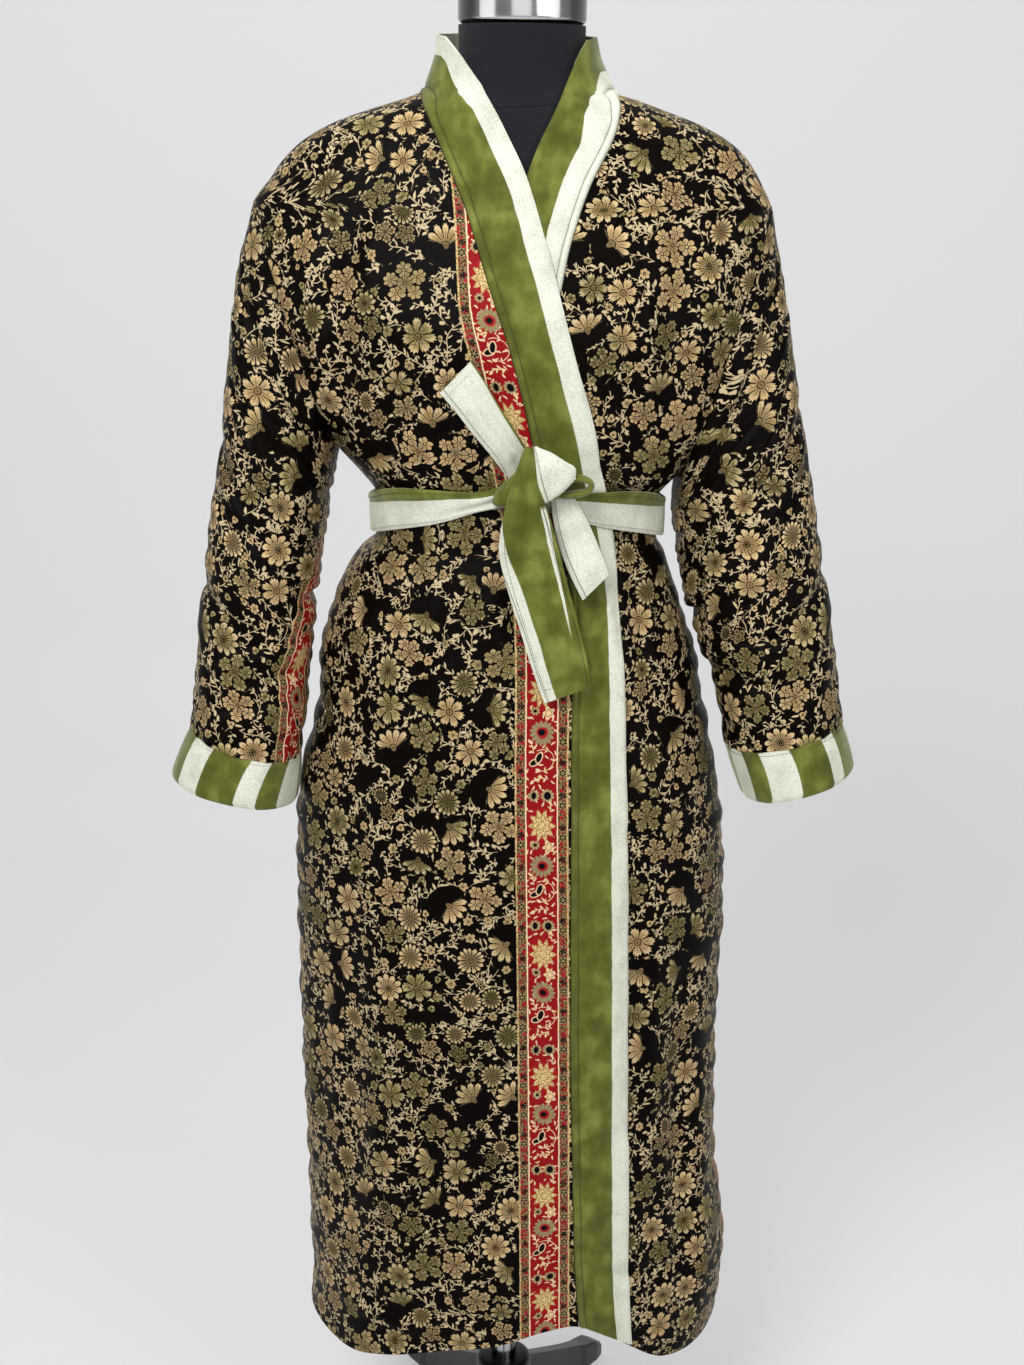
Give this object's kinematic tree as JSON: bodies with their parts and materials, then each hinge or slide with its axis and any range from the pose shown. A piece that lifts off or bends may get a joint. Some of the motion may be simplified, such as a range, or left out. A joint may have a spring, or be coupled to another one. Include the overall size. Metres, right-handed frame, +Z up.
{
  "type": "dressing gown on a dress form",
  "caption": "Full-length wrap dressing gown with striped velvet front band, cuffs and knotted belt, on a limbless dress form and its footed pole stand.",
  "frame": {"origin": "on the floor, under the middle of the whole part's box", "axes": "+Z up along the stand's pole; -Y is the gown's front; the wearer's right is at -X"},
  "size_m": [0.657, 0.3358, 1.52],
  "materials": {
    "sateen": "glossy blue-black sateen with an ordinary all-over flower print in olive gold and tan",
    "velvet_green": "cut velvet striped olive green and silver grey",
    "velvet_pale": "cut velvet, the silver-grey stripe showing most",
    "form_cover": "taut black jersey cover",
    "chrome": "polished",
    "black_metal": "satin black"
  },
  "bodies": {
    "root": {"gown_back": "sateen", "gown_front_right": "sateen", "gown_front_left": "sateen", "gown_sleeve_right": "sateen", "gown_sleeve_left": "sateen", "gown_cuff_right": "velvet_green", "gown_cuff_left": "velvet_green", "gown_band_right": "velvet_green", "gown_band_left": "velvet_green", "belt_waist": "velvet_pale", "belt_knot": "velvet_green", "belt_loop": "velvet_green", "belt_flap": "velvet_pale", "belt_end_upper": "velvet_pale", "belt_end_long": "velvet_green", "belt_end_short": "velvet_pale", "form_torso": "form_cover", "form_cap": "chrome", "stand_pole": "chrome", "stand_hub": "black_metal", "stand_leg_1": "black_metal", "stand_leg_2": "black_metal", "stand_leg_3": "black_metal", "stand_leg_4": "black_metal", "stand_leg_5": "black_metal"}
  },
  "joints": []
}
